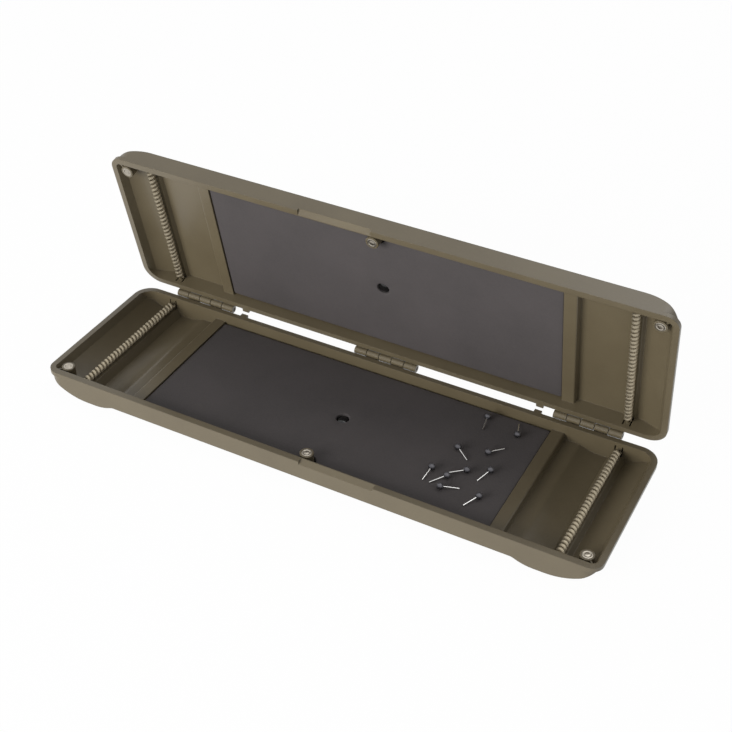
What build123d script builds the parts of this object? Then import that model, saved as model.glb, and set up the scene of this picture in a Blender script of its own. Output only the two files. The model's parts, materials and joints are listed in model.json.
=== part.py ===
from build123d import *
import math
import os

# Long slim rig box, drawn open as in use: two moulded half shells joined by three barrel hinges.
# Working frame: X runs along the box, Y towards the hinge with 0 at the hinge side rim,
# Z up with 0 at the plane where the two rims meet. The last step sets the box on its feet.

# Overall sizes
box_length = 365.0
box_width = 107.0
open_angle = 77.0

# Rim and walls of one half shell
flange_thickness = 3.0
flange_overhang = 1.2
rim_end = 3.6
rim_front = 4.2
rim_back = 3.6
wall = 1.8
seam_gap = 0.3
front_corner_radius = 8.0
back_corner_radius = 12.0
inner_front_radius = 3.5
inner_back_radius = 9.0

# Depths below the seam plane and the rounded ends, with setbacks from the end of the box
middle_depth = 12.4
belly_depth = 15.4
belly_setback = 33.5
belly_flat = 6.0
belly_start_setback = 49.2
belly_blend = 6.0
lid_curve_setback = 23.0
wall_foot = 5.0

# Raised platform and foam pad
platform_depth = 6.0
platform_setback = 58.7
platform_draft = 0.7
platform_round = 1.0
platform_lip = 8.4
pad_clearance = 0.3
pad_thickness = 4.0
pad_side_gap = 1.1
pad_corner = 1.5

# Rod springs that grip the hook links
spring_setback = 25.2
spring_axis_depth = 5.4
spring_outer = 5.6
spring_wire = 1.5
spring_curls = 25
spring_end_gap = 0.35
spring_seat_gap = 0.3
ridge_top_width = 6.0
ridge_foot_width = 13.0
peg_radius = 1.0
peg_length = 4.0
slit_width = 0.8
slit_offset = 2.2
slit_depth = 2.0
slit_top = 2.6
slit_height = 8.0

# Magnets in their bosses
magnet_setback = 9.8
magnet_end_setback = 10.5
magnet_radius = 2.6
magnet_height = 2.6
magnet_bevel = 0.35
magnet_clearance = 0.1
magnet_seam_inset = 0.1
magnet_lead = 0.5
boss_radius = 4.2
boss_round = 0.5
boss_inset = 0.35
boss_rib = 1.0
boss_rib_drop = 0.9

# Barrel hinges behind the back wall
hinge_offset = 3.7
hinge_setback = 47.4
hinge_width = 43.7
knuckle_count = 5
knuckle_radius = 2.5
knuckle_gap = 0.4
web_drop = 0.9
pin_radius = 1.0
pin_play = 0.05
pin_end_inset = 0.5
lug_spacing = 31.1
lug_width = 4.6
lug_reach = 2.6
lug_height = 2.2

# Thumb bevel on the front rim
thumb_length = 48.0
thumb_drop = 1.9
thumb_reach = 3.6

# Button stud through the middle of each pad
stud_head_radius = 3.6
stud_head_height = 1.1
stud_sink = 0.5
stud_shank_radius = 2.0
stud_hole_clearance = 0.15

# Ball headed rig pins lying on the base pad
head_radius = 2.1
needle_radius = 0.4
needle_length = 11.2
needle_grip = 1.2
pin_rest_gap = 0.15

# Loose pins on the base pad: head place as shares of the half length and of the width, heading in degrees
loose_pins = [
    (0.425, 0.120, 278.0),
    (0.547, 0.185, 107.0),
    (0.402, 0.438, 324.0),
    (0.498, 0.398, 54.0),
    (0.369, 0.652, 266.0),
    (0.473, 0.585, 212.0),
    (0.428, 0.676, 230.0),
    (0.539, 0.526, 250.0),
    (0.430, 0.771, 27.0),
    (0.555, 0.742, 241.0),
]

# How far a cutting solid reaches past the faces it cuts
overshoot = 1.0

# Sizes that follow from the ones above
half_length = box_length / 2
belly_x = half_length - belly_setback
belly_start = half_length - belly_start_setback
lid_curve_x = half_length - lid_curve_setback
platform_half = half_length - platform_setback
pad_half = platform_half - platform_lip
spring_x = half_length - spring_setback
magnet_x = half_length - magnet_end_setback
hinge_spacing = half_length - hinge_setback
lug_x = hinge_spacing - lug_spacing
rim_z = -seam_gap / 2
flange_low = -flange_thickness
body_end = half_length - flange_overhang
belly_floor = -(belly_depth - wall)
middle_floor = -(middle_depth - wall)
inner_end = half_length - rim_end
front_y = -box_width
inner_front = front_y + rim_front
inner_back = -rim_back
cavity_width = inner_back - inner_front
cavity_middle = (inner_back + inner_front) / 2
spring_radius = (spring_outer - spring_wire) / 2
spring_length = cavity_width - 2 * spring_end_gap
magnet_y = front_y + magnet_setback
pad_top = middle_floor + pad_thickness
stud_y = -box_width / 2
hinge_places = [("left", -hinge_spacing), ("centre", 0.0), ("right", hinge_spacing)]
closed_stack = Axis((0, hinge_offset, 0), (1, 0, 0))


def corner_plan(length, front, back, front_radius, back_radius, low, high):
    """Upright prism on a rectangle whose front and back corners have their own radii."""
    block = Pos(0, (front + back) / 2, (low + high) / 2) * Box(length, back - front, high - low)
    upright = block.edges().filter_by(Axis.Z)
    block = fillet(upright.group_by(Axis.Y)[0], front_radius)
    upright = block.edges().filter_by(Axis.Z).group_by(Axis.Y)[-1]
    return fillet(upright, back_radius)


def run_along_y(points_to_face, front, back):
    """Push an outline drawn in X and Z through the width of the box."""
    return extrude(Plane.XZ.offset(-back) * points_to_face, back - front)


def arc_radius(run, rise):
    """Radius of an arc that starts level and climbs a rise over a run."""
    return (run**2 + rise**2) / (2 * rise)


def end_curve(low_x, depth):
    """Outer top end, inner foot of the curve that closes one end of a half."""
    radius = arc_radius(body_end - low_x, depth + flange_low)
    inner = radius - wall
    drop = radius - depth + wall_foot
    return (body_end, flange_low), (low_x + math.sqrt(inner**2 - drop**2), -wall_foot)


def rise_to_middle(low_x, start_x, depth, side):
    """Arc from the belly up to the middle level."""
    level = depth + middle_depth - belly_depth
    return TangentArc((side * low_x, -depth), (side * start_x, -level), tangent=(-side, 0))


def bottom_line(side, belly, inset):
    """Lower outline of one end from its outer end to the middle, a wall further in for the room."""
    edges = []
    if belly:
        low_x = belly_x + belly_flat / 2
        depth = belly_depth
    else:
        low_x = lid_curve_x
        depth = middle_depth
    outer, foot = end_curve(low_x, depth)
    target = foot if inset else outer
    level = -(depth - inset)
    edges.append(TangentArc((side * low_x, level), (side * target[0], target[1]), tangent=(side, 0)))
    if belly:
        inner_x = belly_x - belly_flat / 2
        run = inner_x - belly_start
        rise = belly_depth - middle_depth
        radius = arc_radius(run, rise) - inset
        start_x = inner_x - math.sqrt(2 * radius * rise - rise**2)
        edges.append(Line((side * low_x, level), (side * inner_x, level)))
        edges.append(rise_to_middle(inner_x, start_x, depth - inset, side))
        low_x = start_x
    return edges, target, low_x


def soften_belly(solid):
    """Blend the crease where the belly leaves the middle level."""
    creases = solid.edges().filter_by(Axis.Y)
    creases = creases.filter_by(lambda edge: abs(abs(edge.center().X) - belly_start) < belly_flat)
    creases = creases.filter_by(lambda edge: edge.center().Z < middle_floor + overshoot)
    return fillet(creases, belly_blend)


def platform_step(side, floor_x):
    """Floor, steep step and rounded lip of the platform that carries the pad."""
    foot = (side * (platform_half + platform_draft), middle_floor)
    shoulder = (side * platform_half, -platform_depth - platform_round)
    lip = (side * (platform_half - platform_round), -platform_depth)
    return [
        Line((side * floor_x, middle_floor), foot),
        Line(foot, shoulder),
        RadiusArc(shoulder, lip, -side * platform_round, short_sagitta=True),
        Line(lip, (0, -platform_depth)),
    ]


def shell_body(belly):
    """Outside of one half: level flange, straight front and back, curved ends and belly."""
    edges = [Line((-body_end, flange_low), (body_end, flange_low))]
    for side in (-1, 1):
        bottom, outer, floor_x = bottom_line(side, belly, 0)
        edges += bottom
        edges.append(Line((side * floor_x, -middle_depth), (0, -middle_depth)))
    body = run_along_y(make_face(Wire(edges)), front_y, 0)
    if belly:
        body = soften_belly(body)
    plan = corner_plan(
        2 * body_end,
        front_y,
        0,
        front_corner_radius + flange_overhang,
        back_corner_radius + flange_overhang,
        -belly_depth - overshoot,
        overshoot,
    )
    body = body & plan
    flange = corner_plan(
        box_length, front_y, 0, front_corner_radius, back_corner_radius, flange_low, rim_z
    )
    return body + flange


def shell_room(belly):
    """Room inside one half, down to the pocket floors and the platform."""
    top = rim_z + overshoot
    edges = [Line((-inner_end, top), (inner_end, top))]
    for side in (-1, 1):
        bottom, foot, floor_x = bottom_line(side, belly, wall)
        edges.append(Line((side * inner_end, top), (side * inner_end, rim_z)))
        edges.append(Line((side * inner_end, rim_z), (side * foot[0], foot[1])))
        edges += bottom
        edges += platform_step(side, floor_x)
    room = run_along_y(make_face(Wire(edges)), inner_front, inner_back)
    if belly:
        room = soften_belly(room)
    plan = corner_plan(
        2 * inner_end,
        inner_front,
        inner_back,
        inner_front_radius,
        inner_back_radius,
        -belly_depth,
        2 * overshoot,
    )
    return room & plan


def pad_recess():
    """Sunk seat for the foam pad in the platform."""
    half = pad_half + pad_clearance
    height = -platform_depth - middle_floor + overshoot
    return Pos(0, cavity_middle, middle_floor + height / 2) * Box(2 * half, cavity_width, height)


def spring_ridge(side):
    """Moulded ridge across the pocket floor that backs the spring."""
    top = -spring_axis_depth - spring_outer / 2 - spring_seat_gap
    foot = belly_floor - wall / 2
    face = make_face(
        Polyline(
            (side * spring_x - ridge_foot_width / 2, foot),
            (side * spring_x - ridge_top_width / 2, top),
            (side * spring_x + ridge_top_width / 2, top),
            (side * spring_x + ridge_foot_width / 2, foot),
            close=True,
        )
    )
    return run_along_y(face, inner_front - wall / 2, inner_back + wall / 2)


def spring_peg(side, wall_y, inward):
    """Round peg on the wall that the end of the spring slips over."""
    centre_y = wall_y + inward * (peg_length - wall) / 2
    peg = Cylinder(peg_radius, peg_length + wall, rotation=(90, 0, 0))
    return Pos(side * spring_x, centre_y, -spring_axis_depth) * peg


def spring_slits(side, wall_y):
    """Two upright slits beside the spring that free its seat from the wall."""
    middle = -slit_top - slit_height / 2
    slit = Box(slit_width, 2 * slit_depth, slit_height)
    places = [Pos(side * spring_x + offset, wall_y, middle) for offset in (-slit_offset, slit_offset)]
    return [place * slit for place in places]


def magnet_boss(x):
    """Round boss on the floor that holds a magnet, tied to the wall by a thin rib."""
    top = rim_z - boss_inset
    height = top + belly_depth
    post = Cylinder(boss_radius, height, align=(Align.CENTER, Align.CENTER, Align.MAX))
    post = fillet(post.edges().group_by(Axis.Z)[-1], boss_round)
    reach = 1.5 * magnet_setback
    slant = 45 * (x > 0) - 45 * (x < 0)
    rib = Box(boss_rib, reach, height - boss_rib_drop, align=(Align.CENTER, Align.MAX, Align.MAX))
    rib = Rot(0, 0, slant) * Pos(0, 0, -boss_rib_drop) * rib
    return Pos(x, magnet_y, top) * (post + rib)


def magnet_hole(x):
    """Blind hole for the magnet in the top of its boss, with a bevelled mouth."""
    depth = magnet_height - magnet_seam_inset
    radius = magnet_radius + magnet_clearance
    hole = Cylinder(radius, depth, align=(Align.CENTER, Align.CENTER, Align.MAX))
    mouth = Cone(radius, radius + magnet_lead, magnet_lead, align=(Align.CENTER, Align.CENTER, Align.MAX))
    above = Cylinder(boss_radius, boss_inset, align=(Align.CENTER, Align.CENTER, Align.MIN))
    return Pos(x, magnet_y, rim_z - boss_inset) * (hole + mouth + above)


def thumb_bevel(side):
    """Bevel on the front rim where a thumb nail lifts the lid."""
    face = make_face(
        Polyline(
            (front_y - overshoot, rim_z - thumb_drop * (1 + overshoot / thumb_reach)),
            (front_y + thumb_reach, rim_z),
            (front_y + thumb_reach, rim_z + overshoot),
            (front_y - overshoot, rim_z + overshoot),
            close=True,
        )
    )
    wedge = extrude(Plane.YZ * face, thumb_length)
    return wedge if side > 0 else Pos(-thumb_length, 0, 0) * wedge


def knuckle_spans(centre):
    """Start and end of each barrel piece of one hinge."""
    step = hinge_width / knuckle_count
    first = centre - hinge_width / 2
    spans = [(first + n * step, first + (n + 1) * step) for n in range(knuckle_count)]
    return [(low + knuckle_gap / 2, high - knuckle_gap / 2) for low, high in spans]


def knuckle(low, high):
    """One barrel piece with the web that roots it in the wall under the rim."""
    width = high - low
    barrel = Cylinder(knuckle_radius, width, rotation=(0, 90, 0))
    barrel = Pos((low + high) / 2, hinge_offset, 0) * barrel
    root = -rim_back / 2
    top = rim_z - web_drop
    web = Box(width, hinge_offset - root, knuckle_radius + top, align=(Align.CENTER, Align.MIN, Align.MAX))
    return barrel + Pos((low + high) / 2, root, top) * web


def pin_bore(centre):
    """Straight bore through all the barrel pieces of one hinge."""
    bore = Cylinder(pin_radius + pin_play, hinge_width + 2 * overshoot, rotation=(0, 90, 0))
    return Pos(centre, hinge_offset, 0) * bore


def back_lug(side):
    """Small square lug on the back rim beside the outer hinges."""
    lug = Box(lug_width, lug_reach + wall, lug_height, align=(Align.CENTER, Align.MIN, Align.MAX))
    return Pos(side * lug_x, -wall, rim_z) * lug


def half_shell(belly, knuckle_turn, thumb_side):
    """One half shell as moulded, opening upwards, with its own set of barrel pieces."""
    outside = shell_body(belly)
    room = shell_room(belly)
    shell = outside - room - pad_recess()
    inside = []
    for side in (-1, 1):
        inside.append(spring_ridge(side))
        inside.append(spring_peg(side, inner_front, 1))
        inside.append(spring_peg(side, inner_back, -1))
    for x in (-magnet_x, 0, magnet_x):
        inside.append(magnet_boss(x))
    for piece in inside:
        shell = shell + (piece & outside)
    for side in (-1, 1):
        for slit in spring_slits(side, inner_front) + spring_slits(side, inner_back):
            shell = shell - slit
    for x in (-magnet_x, 0, magnet_x):
        shell = shell - magnet_hole(x)
    shell = shell - stud_hole()
    shell = shell - thumb_bevel(thumb_side)
    for side in (-1, 1):
        shell = shell + back_lug(side)
    for name, centre in hinge_places:
        for number, span in enumerate(knuckle_spans(centre)):
            if number % 2 == knuckle_turn:
                shell = shell + knuckle(*span)
        shell = shell - pin_bore(centre)
    return shell


def stud_hole():
    """Hole in the floor that the shank of the pad's button stud is pressed into."""
    hole = Cylinder(stud_shank_radius, wall / 2, align=(Align.CENTER, Align.CENTER, Align.MAX))
    return Pos(0, stud_y, middle_floor) * hole


def foam_pad():
    """Foam pad with a notch round the middle boss and a sunk hole for its stud."""
    width = cavity_width - 2 * pad_side_gap
    pad = Pos(0, cavity_middle, middle_floor) * Box(
        2 * pad_half, width, pad_thickness, align=(Align.CENTER, Align.CENTER, Align.MIN)
    )
    pad = fillet(pad.edges().filter_by(Axis.Z), pad_corner)
    reach = boss_radius + pad_side_gap
    notch = Pos(0, magnet_y, 0) * Cylinder(reach, 4 * pad_thickness)
    mouth = Pos(0, magnet_y, 0) * Box(
        2 * reach, 2 * magnet_setback, 4 * pad_thickness, align=(Align.CENTER, Align.MAX, Align.CENTER)
    )
    lower = Pos(0, 0, middle_floor + pad_thickness / 2)
    pad = pad - lower * notch - lower * mouth
    seat = Cylinder(
        stud_head_radius + stud_hole_clearance,
        stud_head_height + stud_sink,
        align=(Align.CENTER, Align.CENTER, Align.MAX),
    )
    pad = pad - Pos(0, stud_y, pad_top) * seat
    shank = Cylinder(stud_shank_radius + stud_hole_clearance, 3 * pad_thickness)
    return pad - Pos(0, stud_y, middle_floor) * shank


def pad_stud():
    """Domed button on a shank, pressed through the pad into the floor."""
    seat = pad_top - stud_sink - stud_head_height
    length = seat - middle_floor + wall / 2
    shank = Cylinder(stud_shank_radius, length, align=(Align.CENTER, Align.CENTER, Align.MAX))
    bulge = (stud_head_radius**2 + stud_head_height**2) / (2 * stud_head_height)
    ball = Pos(0, 0, stud_head_height - bulge) * Sphere(bulge)
    slab = Cylinder(stud_head_radius, stud_head_height, align=(Align.CENTER, Align.CENTER, Align.MIN))
    return Pos(0, stud_y, seat) * (shank + (ball & slab))


def magnet(x):
    """Disc magnet with a bevelled rim, seated on the floor of its hole."""
    disc = Cylinder(magnet_radius, magnet_height, align=(Align.CENTER, Align.CENTER, Align.MAX))
    disc = chamfer(disc.edges().group_by(Axis.Z)[-1], magnet_bevel)
    floor = rim_z - boss_inset - magnet_height + magnet_seam_inset
    return Pos(x, magnet_y, floor + magnet_height) * disc


def hinge_pin(centre):
    """Steel pin of one hinge, a little shorter than its barrel."""
    length = hinge_width - 2 * pin_end_inset
    pin = Cylinder(pin_radius, length, rotation=(0, 90, 0))
    pin = chamfer(pin.edges().filter_by(GeomType.CIRCLE), pin_radius / 4)
    return Pos(centre, hinge_offset, 0) * pin


def helix_point(turn_angle, start_y, rise):
    """Point of the coil's centre line and its unit heading at an angle in radians."""
    here = Vector(
        spring_radius * math.cos(turn_angle),
        start_y + rise * turn_angle / (2 * math.pi),
        spring_radius * math.sin(turn_angle),
    )
    heading = Vector(
        -spring_radius * math.sin(turn_angle),
        rise / (2 * math.pi),
        spring_radius * math.cos(turn_angle),
    )
    return here, heading.normalized()


def two_arcs(start, start_way, finish, finish_way):
    """Pair of arcs that leave and arrive along the given headings."""
    across = finish - start
    both = start_way + finish_way
    spare = 2 * (1 - start_way.dot(finish_way))
    lean = across.dot(both)
    arm = (math.sqrt(lean**2 + spare * across.dot(across)) - lean) / spare
    meet = (start + finish + (start_way - finish_way) * arm) * 0.5
    first = TangentArc(start, meet, tangent=start_way)
    second = TangentArc(meet, finish, tangent=first % 1)
    return [first, second]


def coil_spring():
    """Open wound spring about the Y axis, one unbroken wire of round section."""
    rise = (spring_length - spring_wire) / spring_curls
    start_y = inner_front + spring_end_gap + spring_wire / 2
    edges = []
    quarter = math.pi / 2
    for step in range(4 * spring_curls):
        here, way = helix_point(step * quarter, start_y, rise)
        there, next_way = helix_point((step + 1) * quarter, start_y, rise)
        edges += two_arcs(here, way, there, next_way)
    path = Wire(edges)
    here, way = helix_point(0, start_y, rise)
    section = Plane(origin=here, z_dir=way) * Circle(spring_wire / 2)
    return sweep(section, path=path), path, rise


def report_coil_gap(path, rise):
    """Print the least gap between neighbouring turns, measured on points of the wire."""
    count = 12 * spring_curls
    points = [path @ (n / count) for n in range(count + 1)]
    least = rise
    for first in range(len(points)):
        for second in range(first + 9, min(first + 16, len(points))):
            least = min(least, (points[first] - points[second]).length)
    print("spring: turns", spring_curls, "pitch", round(rise, 2), "least gap", round(least - spring_wire, 2))


def loose_pin(along, across, heading):
    """Ball head and needle of one rig pin, lying on the pad with its tip down."""
    rest = pad_top + pin_rest_gap
    head_centre = Vector(along * half_length, -across * box_width, rest + head_radius)
    reach = needle_length
    drop = head_radius - needle_radius
    flat = math.sqrt(reach**2 - drop**2)
    way = Vector(
        flat * math.cos(math.radians(heading)), flat * math.sin(math.radians(heading)), -drop
    ).normalized()
    head = Pos(head_centre) * Sphere(head_radius)
    shaft_plane = Plane(origin=head_centre, z_dir=way)
    shaft = shaft_plane * Cylinder(needle_radius, reach, align=(Align.CENTER, Align.CENTER, Align.MIN))
    socket_start = head_radius - needle_grip
    bore = shaft_plane * Pos(0, 0, socket_start) * Cylinder(
        needle_radius, reach, align=(Align.CENTER, Align.CENTER, Align.MIN)
    )
    return head - bore, shaft & bore


def to_lid(piece):
    """Mirror a piece of the base over the seam and swing it open with the lid."""
    return mirror(piece, about=Plane.XY).rotate(closed_stack, -open_angle)


def build_pieces():
    """Every separate piece of the box in the working frame, by node name."""
    pieces = {}
    pieces["base_shell"] = half_shell(belly=True, knuckle_turn=1, thumb_side=1)
    pieces["lid_shell"] = to_lid(half_shell(belly=False, knuckle_turn=0, thumb_side=-1))
    for name, centre in hinge_places:
        pieces["hinge_pin_" + name] = hinge_pin(centre)
    pieces["base_pad"] = foam_pad()
    pieces["lid_pad"] = to_lid(foam_pad())
    pieces["base_pad_stud"] = pad_stud()
    pieces["lid_pad_stud"] = to_lid(pad_stud())
    for name, x in (("left", -magnet_x), ("centre", 0.0), ("right", magnet_x)):
        pieces["base_magnet_" + name] = magnet(x)
        pieces["lid_magnet_" + name] = to_lid(magnet(x))
    coil, path, rise = coil_spring()
    report_coil_gap(path, rise)
    for name, side in (("left", -1), ("right", 1)):
        spring = Pos(side * spring_x, 0, -spring_axis_depth) * coil
        pieces["base_spring_" + name] = spring
        pieces["lid_spring_" + name] = to_lid(spring)
    pairs = [loose_pin(*place) for place in loose_pins]
    pieces["rig_pin_heads"] = Compound([head.solid() for head, needle in pairs])
    pieces["rig_pin_needles"] = Compound([needle.solid() for head, needle in pairs])
    return pieces


def stand_on_floor(pieces):
    """Shift that puts the floor at Z 0 and the origin under the middle of the open box."""
    boxes = [pieces[name].bounding_box() for name in ("base_shell", "lid_shell")]
    low = min(box.min.Y for box in boxes)
    high = max(box.max.Y for box in boxes)
    return Pos(0, -(low + high) / 2, belly_depth)


def main():
    os.makedirs("parts", exist_ok=True)
    pieces = build_pieces()
    place = stand_on_floor(pieces)
    print("shift", place.position)
    for name, piece in pieces.items():
        export_step(place * piece, "parts/" + name + ".step")


main()
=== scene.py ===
import bpy
import bmesh
import json
import math
from mathutils import Matrix, Vector, geometry


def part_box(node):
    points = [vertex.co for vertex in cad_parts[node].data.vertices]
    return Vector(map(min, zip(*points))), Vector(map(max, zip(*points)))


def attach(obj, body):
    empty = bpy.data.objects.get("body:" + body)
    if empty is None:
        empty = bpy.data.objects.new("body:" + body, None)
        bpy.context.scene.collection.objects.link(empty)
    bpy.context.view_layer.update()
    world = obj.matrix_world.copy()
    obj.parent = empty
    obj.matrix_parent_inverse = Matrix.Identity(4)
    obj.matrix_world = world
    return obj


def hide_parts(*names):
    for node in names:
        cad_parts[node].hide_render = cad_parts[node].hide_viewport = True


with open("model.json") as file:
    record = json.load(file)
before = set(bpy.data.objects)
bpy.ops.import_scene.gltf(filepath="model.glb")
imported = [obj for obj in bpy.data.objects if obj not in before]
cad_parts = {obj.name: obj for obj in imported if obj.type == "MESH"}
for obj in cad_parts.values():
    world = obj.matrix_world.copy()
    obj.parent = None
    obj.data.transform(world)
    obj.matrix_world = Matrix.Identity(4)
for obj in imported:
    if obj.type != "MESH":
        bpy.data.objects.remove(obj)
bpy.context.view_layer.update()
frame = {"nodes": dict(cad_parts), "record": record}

MM = 0.001
WELD = 0.001 * MM

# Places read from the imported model
hinge = frame["record"]["behaviour"]["joints"][0]
HINGE_Y = hinge["pos_m"][1]
SEAM_Z = hinge["pos_m"][2]
OPEN_ANGLE = math.radians(-hinge["range_deg"][0])
PAD_LOW, PAD_HIGH = (Vector(corner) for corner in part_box("base_pad"))
STUD_LOW, STUD_HIGH = (Vector(corner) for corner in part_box("base_pad_stud"))
MAGNET_LOW, MAGNET_HIGH = (Vector(corner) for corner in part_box("base_magnet_centre"))

# Camera, from the photograph's perspective
CAMERA_AZIMUTH = 27.4
CAMERA_ELEVATION = 37.65
CAMERA_ROLL = 0.65
CAMERA_DISTANCE = 0.831
CAMERA_AIM = Vector((-0.0078, 0.0372, 0.0153))
FOCAL_PIXELS = 1323.0
PHOTO_PIXELS = 732.0
SENSOR_MM = 36.0

# Studio: half the paper's width, how much of it glows white as seen and as it lights the box
PAPER_HALF = 6.0
PAPER_DROP = 0.2 * MM
SEEN_GLOW = 0.97
LIGHTING_GLOW = 0.8
SURROUND_FILL = 0.38

# Softened edges of the moulding
EDGE_ROUND = 0.5 * MM
EDGE_SAMPLES = 4

# Foam pads
PAD_CORNER = 1.5 * MM
PAD_EDGE_ROUND = 0.6 * MM
PAD_CROWN = 0.25 * MM
PAD_GRID = 3.5 * MM
PAD_GRID_MARGIN = 1.0 * MM
PAD_CORNER_STEPS = 4
PAD_EDGE_STEPS = 4
BOSS_AND_GAP = 2.7 * MM
NOTCH_STEPS = 16
STUD_SEAT_STEPS = 40
STUD_SEAT_GAP = 0.4 * MM
STUD_DIMPLE = 0.3 * MM
STUD_DIMPLE_WIDTH = 5.0 * MM

# Pot magnets: radii and depths of the flared lip, the ring groove and the small bends between them
MAGNET_SIDES = 40
CRISP_ANGLE = math.radians(50)
FACE_BEND = 0.08 * MM
LIP_RADIUS = 3.1 * MM
LIP_DEPTH = 0.45 * MM
FACE_RING = 1.75 * MM
GROOVE_DEPTH = 0.22 * MM

# Rod springs: how much slimmer than the room of their solids, then steps a turn and sides of the wire
SPRING_TURNS = 30
SPRING_WIRE = 2.2 * MM
SPRING_SLIM = 0.3 * MM
SPRING_STEPS = 24
SPRING_SIDES = 10


def linear(hex_colour):
    """Linear RGBA of an sRGB hex colour."""
    channels = [int(hex_colour[n:n + 2], 16) / 255 for n in (1, 3, 5)]
    bright = [c / 12.92 if c <= 0.04045 else ((c + 0.055) / 1.055) ** 2.4 for c in channels]
    return (*bright, 1.0)


def add_node(tree, kind, inputs, **settings):
    """Add a node with its settings; each input gets a value or a link from another node's socket.

    The colour form of a Mix node takes its factor and two colours at inputs 0, 6 and 7, and gives output 2.
    """
    node = tree.nodes.new(kind)
    for name, value in settings.items():
        setattr(node, name, value)
    for socket, value in inputs.items():
        if isinstance(value, bpy.types.NodeSocket):
            tree.links.new(value, node.inputs[socket])
        else:
            node.inputs[socket].default_value = value
    return node


def new_material(name):
    """Empty node material and its tree."""
    material = bpy.data.materials.new(name)
    material.use_nodes = True
    material.node_tree.nodes.clear()
    return material, material.node_tree


def moulded_abs():
    """Olive brown ABS, injection moulded in a lightly spark eroded tool."""
    # Satin sheen in patches 30 mm wide and a 1.2 mm mottle of pigment. The spark eroded grain is
    # under 0.1 mm wide, and is drawn at 0.4 mm so that it shows in the gloss.
    material, tree = new_material("moulded_abs")
    where = add_node(tree, "ShaderNodeTexCoord", {}).outputs["Object"]
    cloud = add_node(
        tree, "ShaderNodeTexNoise", {"Vector": where, "Scale": 1 / (30 * MM), "Detail": 4.0, "Roughness": 0.55}
    ).outputs[0]
    speck = add_node(tree, "ShaderNodeTexNoise", {"Vector": where, "Scale": 1 / (1.2 * MM)}).outputs[0]
    grain = add_node(tree, "ShaderNodeTexNoise", {"Vector": where, "Scale": 1 / (0.4 * MM), "Detail": 1.0}).outputs[0]
    share = add_node(tree, "ShaderNodeMapRange", {"Value": cloud, "To Min": -0.6, "To Max": 1.6}).outputs[0]
    body = add_node(
        tree, "ShaderNodeMix", {0: share, 6: linear("#544B39"), 7: linear("#5C5340")}, data_type="RGBA"
    ).outputs[2]
    share = add_node(tree, "ShaderNodeMapRange", {"Value": speck, "To Min": 0.0, "To Max": 0.4}).outputs[0]
    body = add_node(tree, "ShaderNodeMix", {0: share, 6: body, 7: linear("#635A47")}, data_type="RGBA").outputs[2]
    gloss = add_node(tree, "ShaderNodeMapRange", {"Value": cloud, "To Min": 0.28, "To Max": 0.42}).outputs[0]
    edge = add_node(tree, "ShaderNodeBevel", {"Radius": EDGE_ROUND}, samples=EDGE_SAMPLES).outputs[0]
    bump = add_node(
        tree, "ShaderNodeBump", {"Height": grain, "Normal": edge, "Strength": 0.2, "Distance": 0.1 * MM}
    ).outputs[0]
    shader = add_node(
        tree,
        "ShaderNodeBsdfPrincipled",
        {"Base Color": body, "Roughness": gloss, "Normal": bump, "IOR": 1.56},
    )
    add_node(tree, "ShaderNodeOutputMaterial", {"Surface": shader.outputs[0]})
    return material


def eva_foam():
    """Charcoal closed cell foam, skived from a block."""
    # Dry and very matt, with a pale bloom in patches 40 mm wide and dust 1.4 mm wide. The cut cells
    # are about 0.3 mm wide, and are drawn at 0.7 mm so that they show.
    material, tree = new_material("eva_foam")
    where = add_node(tree, "ShaderNodeTexCoord", {}).outputs["Object"]
    bloom = add_node(
        tree, "ShaderNodeTexNoise", {"Vector": where, "Scale": 1 / (40 * MM), "Detail": 5.0, "Roughness": 0.6}
    ).outputs[0]
    dust = add_node(
        tree, "ShaderNodeTexNoise", {"Vector": where, "Scale": 1 / (1.4 * MM), "Detail": 3.0, "Roughness": 0.7}
    ).outputs[0]
    cells = add_node(tree, "ShaderNodeTexVoronoi", {"Vector": where, "Scale": 1 / (0.7 * MM)}).outputs[0]
    share = add_node(tree, "ShaderNodeMapRange", {"Value": bloom, "To Min": -0.4, "To Max": 1.4}).outputs[0]
    body = add_node(
        tree, "ShaderNodeMix", {0: share, 6: linear("#3E3B3B"), 7: linear("#484444")}, data_type="RGBA"
    ).outputs[2]
    share = add_node(tree, "ShaderNodeMapRange", {"Value": dust, "To Min": -0.1, "To Max": 0.4}).outputs[0]
    body = add_node(tree, "ShaderNodeMix", {0: share, 6: body, 7: linear("#544F4E")}, data_type="RGBA").outputs[2]
    bump = add_node(
        tree, "ShaderNodeBump", {"Height": cells, "Strength": 0.35, "Distance": 0.15 * MM}
    ).outputs[0]
    shader = add_node(
        tree,
        "ShaderNodeBsdfPrincipled",
        {"Base Color": body, "Normal": bump, "Roughness": 0.82, "IOR": 1.45},
    )
    add_node(tree, "ShaderNodeOutputMaterial", {"Surface": shader.outputs[0]})
    return material


def black_nylon():
    """Black nylon of the button studs, moulded in a polished tool."""
    # Deep gloss whose flow marks, 2.5 mm wide, only show in the highlight
    material, tree = new_material("black_nylon")
    where = add_node(tree, "ShaderNodeTexCoord", {}).outputs["Object"]
    swirl = add_node(tree, "ShaderNodeTexNoise", {"Vector": where, "Scale": 1 / (2.5 * MM)}).outputs[0]
    body = add_node(
        tree, "ShaderNodeMix", {0: swirl, 6: linear("#0C0C0C"), 7: linear("#171615")}, data_type="RGBA"
    ).outputs[2]
    gloss = add_node(tree, "ShaderNodeMapRange", {"Value": swirl, "To Min": 0.1, "To Max": 0.2}).outputs[0]
    shader = add_node(tree, "ShaderNodeBsdfPrincipled", {"Base Color": body, "Roughness": gloss, "IOR": 1.53})
    add_node(tree, "ShaderNodeOutputMaterial", {"Surface": shader.outputs[0]})
    return material


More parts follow.
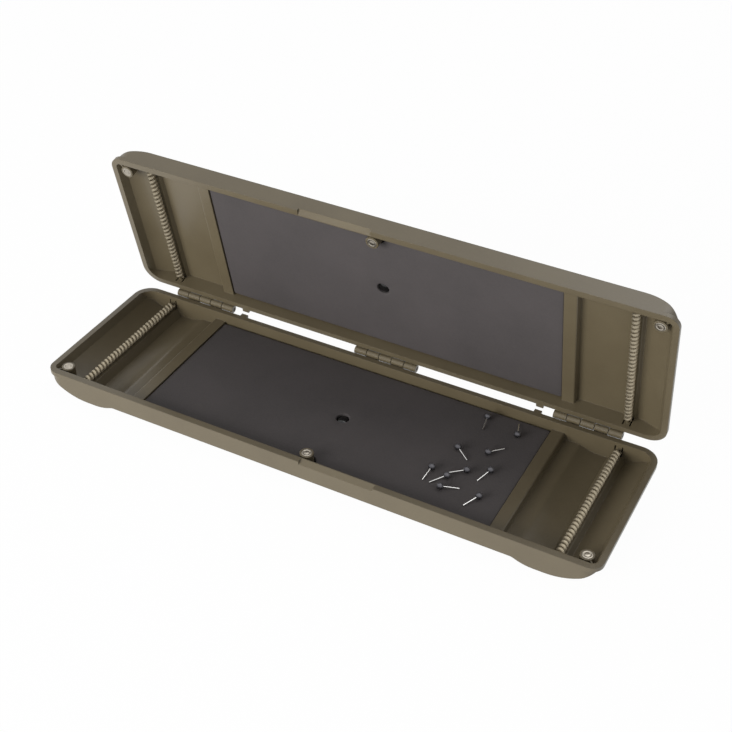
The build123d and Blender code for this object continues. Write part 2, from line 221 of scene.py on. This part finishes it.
def metal(name, colours, roughness, size, stretch=(1, 1, 1)):
    """Metal whose tint and roughness drift over marks of one size, drawn out where stretch is small."""
    material, tree = new_material(name)
    where = add_node(tree, "ShaderNodeTexCoord", {}).outputs["Object"]
    drawn = add_node(tree, "ShaderNodeMapping", {"Vector": where, "Scale": stretch}).outputs[0]
    drift = add_node(tree, "ShaderNodeTexNoise", {"Vector": drawn, "Scale": 1 / size, "Detail": 3.0}).outputs[0]
    body = add_node(
        tree, "ShaderNodeMix", {0: drift, 6: linear(colours[0]), 7: linear(colours[1])}, data_type="RGBA"
    ).outputs[2]
    gloss = add_node(
        tree, "ShaderNodeMapRange", {"Value": drift, "To Min": roughness[0], "To Max": roughness[1]}
    ).outputs[0]
    shader = add_node(
        tree, "ShaderNodeBsdfPrincipled", {"Base Color": body, "Roughness": gloss, "Metallic": 1.0}
    )
    add_node(tree, "ShaderNodeOutputMaterial", {"Surface": shader.outputs[0]})
    return material


def finishes():
    """Every finish of the box by a maker's name."""
    return {
        "plastic": moulded_abs(),
        "foam": eva_foam(),
        "stud": black_nylon(),
        # Hot dipped spring wire: grey brown zinc with blooms of 2 mm, broad soft highlights
        "spring": metal("galvanised_wire", ("#B0A691", "#C3B9A4"), (0.58, 0.72), 2.0 * MM),
        # Plated pot: warm white nickel, hazy from handling in smudges of 3 mm
        "magnet": metal("nickel_plate", ("#A49D91", "#BAB3A6"), (0.3, 0.42), 3.0 * MM),
        # Drawn rod, oiled: dark grey. Die lines run along it, drawn 2 mm wide so that they show
        "hinge": metal("drawn_steel_rod", ("#4A4640", "#5C574F"), (0.35, 0.5), 2.0 * MM, (0.1, 1, 1)),
        # Black nickel, tumbled: dull grey with wear marks of 1.5 mm, lighter on top, no sharp glint
        "ball": metal("black_nickel_ball", ("#626165", "#706F73"), (0.42, 0.55), 1.5 * MM),
        # Polished needle steel: a clean white line of light, hazed over lengths of 2 mm
        "needle": metal("polished_needle_steel", ("#D5D4D2", "#EAE9E7"), (0.1, 0.2), 2.0 * MM),
    }


def dress_cad_nodes(finish):
    """Give each carried over node its finish."""
    for name, node in frame["nodes"].items():
        key = "plastic"
        if name.endswith("stud"):
            key = "stud"
        elif name.startswith("hinge_pin"):
            key = "hinge"
        elif "magnet" in name:
            key = "magnet"
        elif name == "rig_pin_heads":
            key = "ball"
        elif name == "rig_pin_needles":
            key = "needle"
        for place in node.material_slots:
            place.material = finish[key]


def to_lid():
    """Matrix that mirrors a piece of the base over the seam and opens it with the lid."""
    mirror = Matrix.Translation((0, 0, SEAM_Z)) @ Matrix.Scale(-1, 4, (0, 0, 1))
    mirror = mirror @ Matrix.Translation((0, 0, -SEAM_Z))
    pivot = Vector((0, HINGE_Y, SEAM_Z))
    swing = Matrix.Translation(pivot) @ Matrix.Rotation(-OPEN_ANGLE, 4, "X") @ Matrix.Translation(-pivot)
    return swing @ mirror


def new_piece(name, mesh, material):
    """Object at the origin with one material and smooth faces."""
    for face in mesh.polygons:
        face.use_smooth = True
    mesh.materials.clear()
    mesh.materials.append(material)
    piece = bpy.data.objects.new(name, mesh)
    bpy.context.scene.collection.objects.link(piece)
    return piece


def lid_copy(mesh, name):
    """Mesh of the base turned into its twin in the lid, with its faces outwards again."""
    twin = mesh.copy()
    twin.name = name
    twin.transform(to_lid())
    twin.flip_normals()
    return twin


def pad_outline():
    """Points and outward headings round the pad, with its corners and the boss notch."""
    left, right = PAD_LOW.x, PAD_HIGH.x
    front, back = PAD_LOW.y, PAD_HIGH.y
    centre = (MAGNET_LOW + MAGNET_HIGH) / 2
    notch = (MAGNET_HIGH.x - MAGNET_LOW.x) / 2 + BOSS_AND_GAP
    points = []
    corners = [
        (right - PAD_CORNER, front + PAD_CORNER, -90),
        (right - PAD_CORNER, back - PAD_CORNER, 0),
        (left + PAD_CORNER, back - PAD_CORNER, 90),
        (left + PAD_CORNER, front + PAD_CORNER, 180),
    ]
    for x, y, start in corners:
        for step in range(PAD_CORNER_STEPS + 1):
            angle = math.radians(start + 90 * step / PAD_CORNER_STEPS)
            heading = Vector((math.cos(angle), math.sin(angle)))
            points.append((Vector((x, y)) + PAD_CORNER * heading, heading))
    mouth = Vector((centre.x - notch, front))
    points.append((mouth, Vector((1, -1)).normalized()))
    for step in range(NOTCH_STEPS + 1):
        angle = math.radians(180 - 180 * step / NOTCH_STEPS)
        heading = Vector((math.cos(angle), math.sin(angle)))
        points.append((centre.xy + notch * heading, -heading))
    points.append((Vector((centre.x + notch, front)), Vector((-1, -1)).normalized()))
    return points


def stud_seat():
    """Points and headings round the sunk hole of the stud, for the same kind of edge."""
    centre = (STUD_LOW + STUD_HIGH) / 2
    radius = (STUD_HIGH.x - STUD_LOW.x) / 2 + STUD_SEAT_GAP
    points = []
    for step in range(STUD_SEAT_STEPS):
        angle = math.radians(-360 * step / STUD_SEAT_STEPS)
        heading = Vector((math.cos(angle), math.sin(angle)))
        points.append((centre.xy + radius * heading, -heading))
    return points


def pad_height(x, y):
    """Height of the foam's face: a faint crown, drawn down round the stud."""
    middle = (PAD_LOW + PAD_HIGH) / 2
    half = (PAD_HIGH - PAD_LOW) / 2
    across = max(0.0, 1 - ((x - middle.x) / half.x) ** 4) * max(0.0, 1 - ((y - middle.y) / half.y) ** 4)
    centre = (STUD_LOW + STUD_HIGH) / 2
    away = math.hypot(x - centre.x, y - centre.y)
    dimple = STUD_DIMPLE * math.exp(-((away / STUD_DIMPLE_WIDTH) ** 2))
    return PAD_HIGH.z - PAD_CROWN + PAD_CROWN * across - dimple


def pad_mesh():
    """Closed foam pad with rounded upper edges, a boss notch and a stud hole."""
    bm = bmesh.new()
    upper_rims, lower_rims = [], []
    for loop in (pad_outline(), stud_seat()):
        rings = [[bm.verts.new((point.x, point.y, PAD_LOW.z)) for point, heading in loop]]
        for step in range(PAD_EDGE_STEPS + 1):
            angle = math.radians(90 * step / PAD_EDGE_STEPS)
            inset = PAD_EDGE_ROUND * (1 - math.cos(angle))
            drop = PAD_EDGE_ROUND * (1 - math.sin(angle))
            spots = [point - heading * inset for point, heading in loop]
            rings.append([bm.verts.new((spot.x, spot.y, pad_height(spot.x, spot.y) - drop)) for spot in spots])
        for lower, upper in zip(rings, rings[1:]):
            for n in range(len(loop)):
                bm.faces.new((lower[n - 1], lower[n], upper[n], upper[n - 1]))
        lower_rims.append(rings[0])
        upper_rims.append(rings[-1])
    fill_face(bm, upper_rims, True)
    fill_face(bm, lower_rims, False)
    bmesh.ops.remove_doubles(bm, verts=bm.verts, dist=WELD)
    bmesh.ops.recalc_face_normals(bm, faces=bm.faces)
    mesh = bpy.data.meshes.new("pad")
    bm.to_mesh(mesh)
    bm.free()
    return mesh


def inside(point, ring):
    """Whether a point lies inside a closed ring of points."""
    result = False
    for n, here in enumerate(ring):
        there = ring[n - 1]
        if (here.y > point.y) != (there.y > point.y):
            cross = (there.x - here.x) * (point.y - here.y) / (there.y - here.y) + here.x
            if point.x < cross:
                result = not result
    return result


def far_from(point, others, gap):
    """Whether a point keeps a gap from all the others."""
    return all((point - other).length > gap for other in others)


def fill_face(bm, loops, gridded):
    """Fill the area between an outer ring and a hole, with inner points where it bends."""
    verts = [vert for loop in loops for vert in loop]
    flat = [vert.co.xy for vert in verts]
    edges = []
    start = 0
    for loop in loops:
        count = len(loop)
        edges += [(start + n, start + (n + 1) % count) for n in range(count)]
        start += count
    outer = [vert.co.xy for vert in loops[0]]
    hole = [vert.co.xy for vert in loops[1]]
    if gridded:
        columns = int((PAD_HIGH.x - PAD_LOW.x) / PAD_GRID)
        rows = int((PAD_HIGH.y - PAD_LOW.y) / PAD_GRID)
        for i in range(1, columns):
            for j in range(1, rows):
                x = PAD_LOW.x + (PAD_HIGH.x - PAD_LOW.x) * i / columns
                y = PAD_LOW.y + (PAD_HIGH.y - PAD_LOW.y) * j / rows
                spot = Vector((x, y))
                on_foam = inside(spot, outer) and not inside(spot, hole)
                if on_foam and far_from(spot, outer + hole, PAD_GRID_MARGIN):
                    flat.append(spot)
                    verts.append(bm.verts.new((x, y, pad_height(x, y))))
    # Output type 1 fills all that the outer ring holds, so the triangles in the hole are left out
    filled = geometry.delaunay_2d_cdt(flat, edges, [], 1, WELD / 10)
    faces, origins = filled[2], filled[3]
    for face in faces:
        corners = [verts[origins[n][0]] for n in face]
        centre = sum((corner.co.xy for corner in corners), Vector((0, 0))) / len(corners)
        if not inside(centre, hole):
            bm.faces.new(corners)


def make_pads(finish):
    """Foam pads of the base and the lid."""
    mesh = pad_mesh()
    base = new_piece("base_foam_pad", mesh, finish["foam"])
    lid = new_piece("lid_foam_pad", lid_copy(mesh, "lid_pad"), finish["foam"])
    for piece, body, node in ((base, "base", "base_pad"), (lid, "lid", "lid_pad")):
        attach(piece, body)
        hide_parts(node)


def coil_tree(material):
    """Geometry nodes: a round wire wound into a coil that stands along Z."""
    tree = bpy.data.node_groups.new("wound_coil", "GeometryNodeTree")
    face = tree.interface
    inputs = (
        ("Turns", "NodeSocketFloat", SPRING_TURNS),
        ("Coil Radius", "NodeSocketFloat", 2.0 * MM),
        ("Wire Radius", "NodeSocketFloat", SPRING_WIRE / 2),
        ("Length", "NodeSocketFloat", 0.1),
    )
    for name, kind, value in inputs:
        socket = face.new_socket(name, in_out="INPUT", socket_type=kind)
        socket.default_value = value
    face.new_socket("Geometry", in_out="OUTPUT", socket_type="NodeSocketGeometry")
    given = add_node(tree, "NodeGroupInput", {}).outputs
    wind = add_node(
        tree,
        "GeometryNodeCurveSpiral",
        {
            "Resolution": SPRING_STEPS,
            "Rotations": given["Turns"],
            "Start Radius": given["Coil Radius"],
            "End Radius": given["Coil Radius"],
            "Height": given["Length"],
        },
    ).outputs[0]
    section = add_node(
        tree, "GeometryNodeCurvePrimitiveCircle", {"Resolution": SPRING_SIDES, "Radius": given["Wire Radius"]}
    ).outputs[0]
    wire = add_node(
        tree, "GeometryNodeCurveToMesh", {"Curve": wind, "Profile Curve": section, "Fill Caps": True}
    ).outputs[0]
    real = add_node(tree, "GeometryNodeRealizeInstances", {"Geometry": wire}).outputs[0]
    painted = add_node(tree, "GeometryNodeSetMaterial", {"Geometry": real, "Material": material}).outputs[0]
    add_node(tree, "NodeGroupOutput", {"Geometry": painted})
    return tree


def run_tree(tree, values, name):
    """Plain mesh that a tree gives for named input values."""
    holder = bpy.data.objects.new("holder", bpy.data.meshes.new("holder"))
    bpy.context.scene.collection.objects.link(holder)
    modifier = holder.modifiers.new("tree", "NODES")
    modifier.node_group = tree
    for item in tree.interface.items_tree:
        if item.in_out == "INPUT" and item.name in values:
            modifier[item.identifier] = values[item.name]
    graph = bpy.context.evaluated_depsgraph_get()
    mesh = bpy.data.meshes.new_from_object(holder.evaluated_get(graph))
    mesh.name = name
    bpy.data.objects.remove(holder)
    return mesh


def make_springs(finish):
    """Four rod springs, wound by the coil tree to the room of their solids."""
    tree = coil_tree(finish["spring"])
    for side in ("left", "right"):
        low, high = (Vector(corner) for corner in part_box("base_spring_" + side))
        radius = (high.x - low.x) / 2 - SPRING_SLIM - SPRING_WIRE / 2
        length = high.y - low.y - SPRING_WIRE
        mesh = run_tree(tree, {"Length": length, "Coil Radius": radius}, "coil")
        place = Matrix.Translation(((low.x + high.x) / 2, high.y - SPRING_WIRE / 2, (low.z + high.z) / 2))
        mesh.transform(place @ Matrix.Rotation(math.radians(90), 4, "X"))
        base = new_piece("base_coil_" + side, mesh, finish["spring"])
        lid = new_piece("lid_coil_" + side, lid_copy(mesh, "coil"), finish["spring"])
        for piece, body, node in (
            (base, "base", "base_spring_" + side),
            (lid, "lid", "lid_spring_" + side),
        ):
            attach(piece, body)
            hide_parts(node)


def turned(name, profile, place):
    """Closed mesh of a profile of (radius, height) turned about an upright axis at a place."""
    bm = bmesh.new()
    rings = []
    for radius, height in profile:
        if radius == 0:
            rings.append([bm.verts.new((place.x, place.y, place.z + height))])
            continue
        ring = []
        for step in range(MAGNET_SIDES):
            angle = 2 * math.pi * step / MAGNET_SIDES
            x = place.x + radius * math.cos(angle)
            y = place.y + radius * math.sin(angle)
            ring.append(bm.verts.new((x, y, place.z + height)))
        rings.append(ring)
    for lower, upper in zip(rings, rings[1:]):
        for n in range(MAGNET_SIDES):
            m = (n + 1) % MAGNET_SIDES
            if len(lower) == 1:
                bm.faces.new((lower[0], upper[n], upper[m]))
            elif len(upper) == 1:
                bm.faces.new((lower[m], lower[n], upper[0]))
            else:
                bm.faces.new((lower[m], lower[n], upper[n], upper[m]))
    bmesh.ops.recalc_face_normals(bm, faces=bm.faces)
    mesh = bpy.data.meshes.new(name)
    bm.to_mesh(mesh)
    bm.free()
    return mesh


def magnet_profile(radius, height):
    """Pot magnet with a flared lip, a ring groove and a slightly domed middle."""
    return [
        (0, 0),
        (radius, 0),
        (radius, height - LIP_DEPTH),
        (LIP_RADIUS, height - 2 * FACE_BEND),
        (LIP_RADIUS - FACE_BEND, height - FACE_BEND),
        (LIP_RADIUS - 3 * FACE_BEND, height),
        (FACE_RING + 3 * FACE_BEND, height),
        (FACE_RING + 2 * FACE_BEND, height - FACE_BEND),
        (FACE_RING, height - GROOVE_DEPTH),
        (FACE_RING - 2 * FACE_BEND, height - FACE_BEND),
        (FACE_RING - 3 * FACE_BEND, height - FACE_BEND / 2),
        (0, height - FACE_BEND / 4),
    ]


def make_magnets(finish):
    """Six pot magnets turned on the places of their solids."""
    for name in ("left", "centre", "right"):
        low, high = (Vector(corner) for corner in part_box("base_magnet_" + name))
        place = Vector(((low.x + high.x) / 2, (low.y + high.y) / 2, low.z))
        mesh = turned("magnet", magnet_profile((high.x - low.x) / 2, high.z - low.z), place)
        base = new_piece("base_pot_magnet_" + name, mesh, finish["magnet"])
        lid = new_piece("lid_pot_magnet_" + name, lid_copy(mesh, "magnet"), finish["magnet"])
        for piece, body in ((base, "base"), (lid, "lid")):
            keep_turns_crisp(piece)
            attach(piece, body)
            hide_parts(body + "_magnet_" + name)


def keep_turns_crisp(piece):
    """Keep the sharp turns of a turned piece crisp where its faces meet steeply."""
    piece.data.set_sharp_from_angle(angle=CRISP_ANGLE)


def camera():
    """Camera at the photograph's place."""
    data = bpy.data.cameras.new("camera")
    data.sensor_width = SENSOR_MM
    data.lens = SENSOR_MM * FOCAL_PIXELS / PHOTO_PIXELS
    azimuth, elevation = math.radians(CAMERA_AZIMUTH), math.radians(CAMERA_ELEVATION)
    away = Vector((
        math.sin(azimuth) * math.cos(elevation),
        -math.cos(azimuth) * math.cos(elevation),
        math.sin(elevation),
    ))
    eye = bpy.data.objects.new("camera", data)
    turn = (-away).to_track_quat("-Z", "Y").to_matrix().to_4x4()
    roll = Matrix.Rotation(math.radians(CAMERA_ROLL), 4, "Z")
    eye.matrix_world = Matrix.Translation(CAMERA_AIM + away * CAMERA_DISTANCE) @ turn @ roll
    bpy.context.scene.collection.objects.link(eye)
    bpy.context.scene.camera = eye


def soft_lamp(name, place, aim, size, power, in_gloss):
    """Square soft box that faces a point, mirrored or not in the gloss of the pieces."""
    data = bpy.data.lights.new(name, "AREA")
    data.shape = "SQUARE"
    data.size = size
    data.energy = power
    lamp = bpy.data.objects.new(name, data)
    lamp.visible_glossy = in_gloss
    way = Vector(aim) - Vector(place)
    lamp.matrix_world = Matrix.Translation(place) @ way.to_track_quat("-Z", "Y").to_matrix().to_4x4()
    bpy.context.scene.collection.objects.link(lamp)


def white_where_seen(tree):
    """1 for rays from the camera and in gloss or glass, 0 for those that light a surface."""
    ray = add_node(tree, "ShaderNodeLightPath", {}).outputs
    gloss = add_node(
        tree, "ShaderNodeMath", {0: ray["Is Glossy Ray"], 1: ray["Is Transmission Ray"]}, operation="MAXIMUM"
    ).outputs[0]
    return add_node(tree, "ShaderNodeMath", {0: ray["Is Camera Ray"], 1: gloss}, operation="MAXIMUM").outputs[0]


def paper_floor():
    """Sheet of white paper under the box that keeps its soft shadow."""
    mesh = bpy.data.meshes.new("floor")
    corners = [(x * PAPER_HALF, y * PAPER_HALF, 0) for x, y in ((-1, -1), (1, -1), (1, 1), (-1, 1))]
    mesh.from_pydata(corners, [], [(0, 1, 2, 3)])
    floor = bpy.data.objects.new("floor", mesh)
    floor.location.z = -PAPER_DROP
    bpy.context.scene.collection.objects.link(floor)
    material, tree = new_material("white_paper")
    paper = add_node(tree, "ShaderNodeBsdfDiffuse", {"Color": linear("#F2F2F2")}).outputs[0]
    glow = add_node(tree, "ShaderNodeEmission", {"Color": (1, 1, 1, 1), "Strength": 1.0}).outputs[0]
    share = add_node(
        tree,
        "ShaderNodeMath",
        {0: white_where_seen(tree), 1: SEEN_GLOW - LIGHTING_GLOW, 2: LIGHTING_GLOW},
        operation="MULTIPLY_ADD",
    ).outputs[0]
    mix = add_node(tree, "ShaderNodeMixShader", {0: share, 1: paper, 2: glow}).outputs[0]
    add_node(tree, "ShaderNodeOutputMaterial", {"Surface": mix})
    mesh.materials.append(material)


def studio():
    """Paper floor, two soft boxes and a plain white surround."""
    paper_floor()
    soft_lamp("front_box", place=(-0.7, -1.5, 0.42), aim=(0, 0, 0.03), size=1.1, power=41.0, in_gloss=False)
    soft_lamp("back_box", place=(0.3, 0.8, 1.6), aim=(0, 0, 0.05), size=1.2, power=8.0, in_gloss=True)
    world = bpy.data.worlds.new("surround")
    bpy.context.scene.world = world
    world.use_nodes = True
    tree = world.node_tree
    tree.nodes.clear()
    fill = add_node(tree, "ShaderNodeBackground", {"Color": (1, 1, 1, 1), "Strength": SURROUND_FILL}).outputs[0]
    white = add_node(tree, "ShaderNodeBackground", {"Color": (1, 1, 1, 1), "Strength": 1.0}).outputs[0]
    mix = add_node(tree, "ShaderNodeMixShader", {0: white_where_seen(tree), 1: fill, 2: white}).outputs[0]
    add_node(tree, "ShaderNodeOutputWorld", {"Surface": mix})
    bpy.context.scene.view_settings.view_transform = "Standard"


finish = finishes()
dress_cad_nodes(finish)
make_pads(finish)
make_springs(finish)
make_magnets(finish)
camera()
studio()
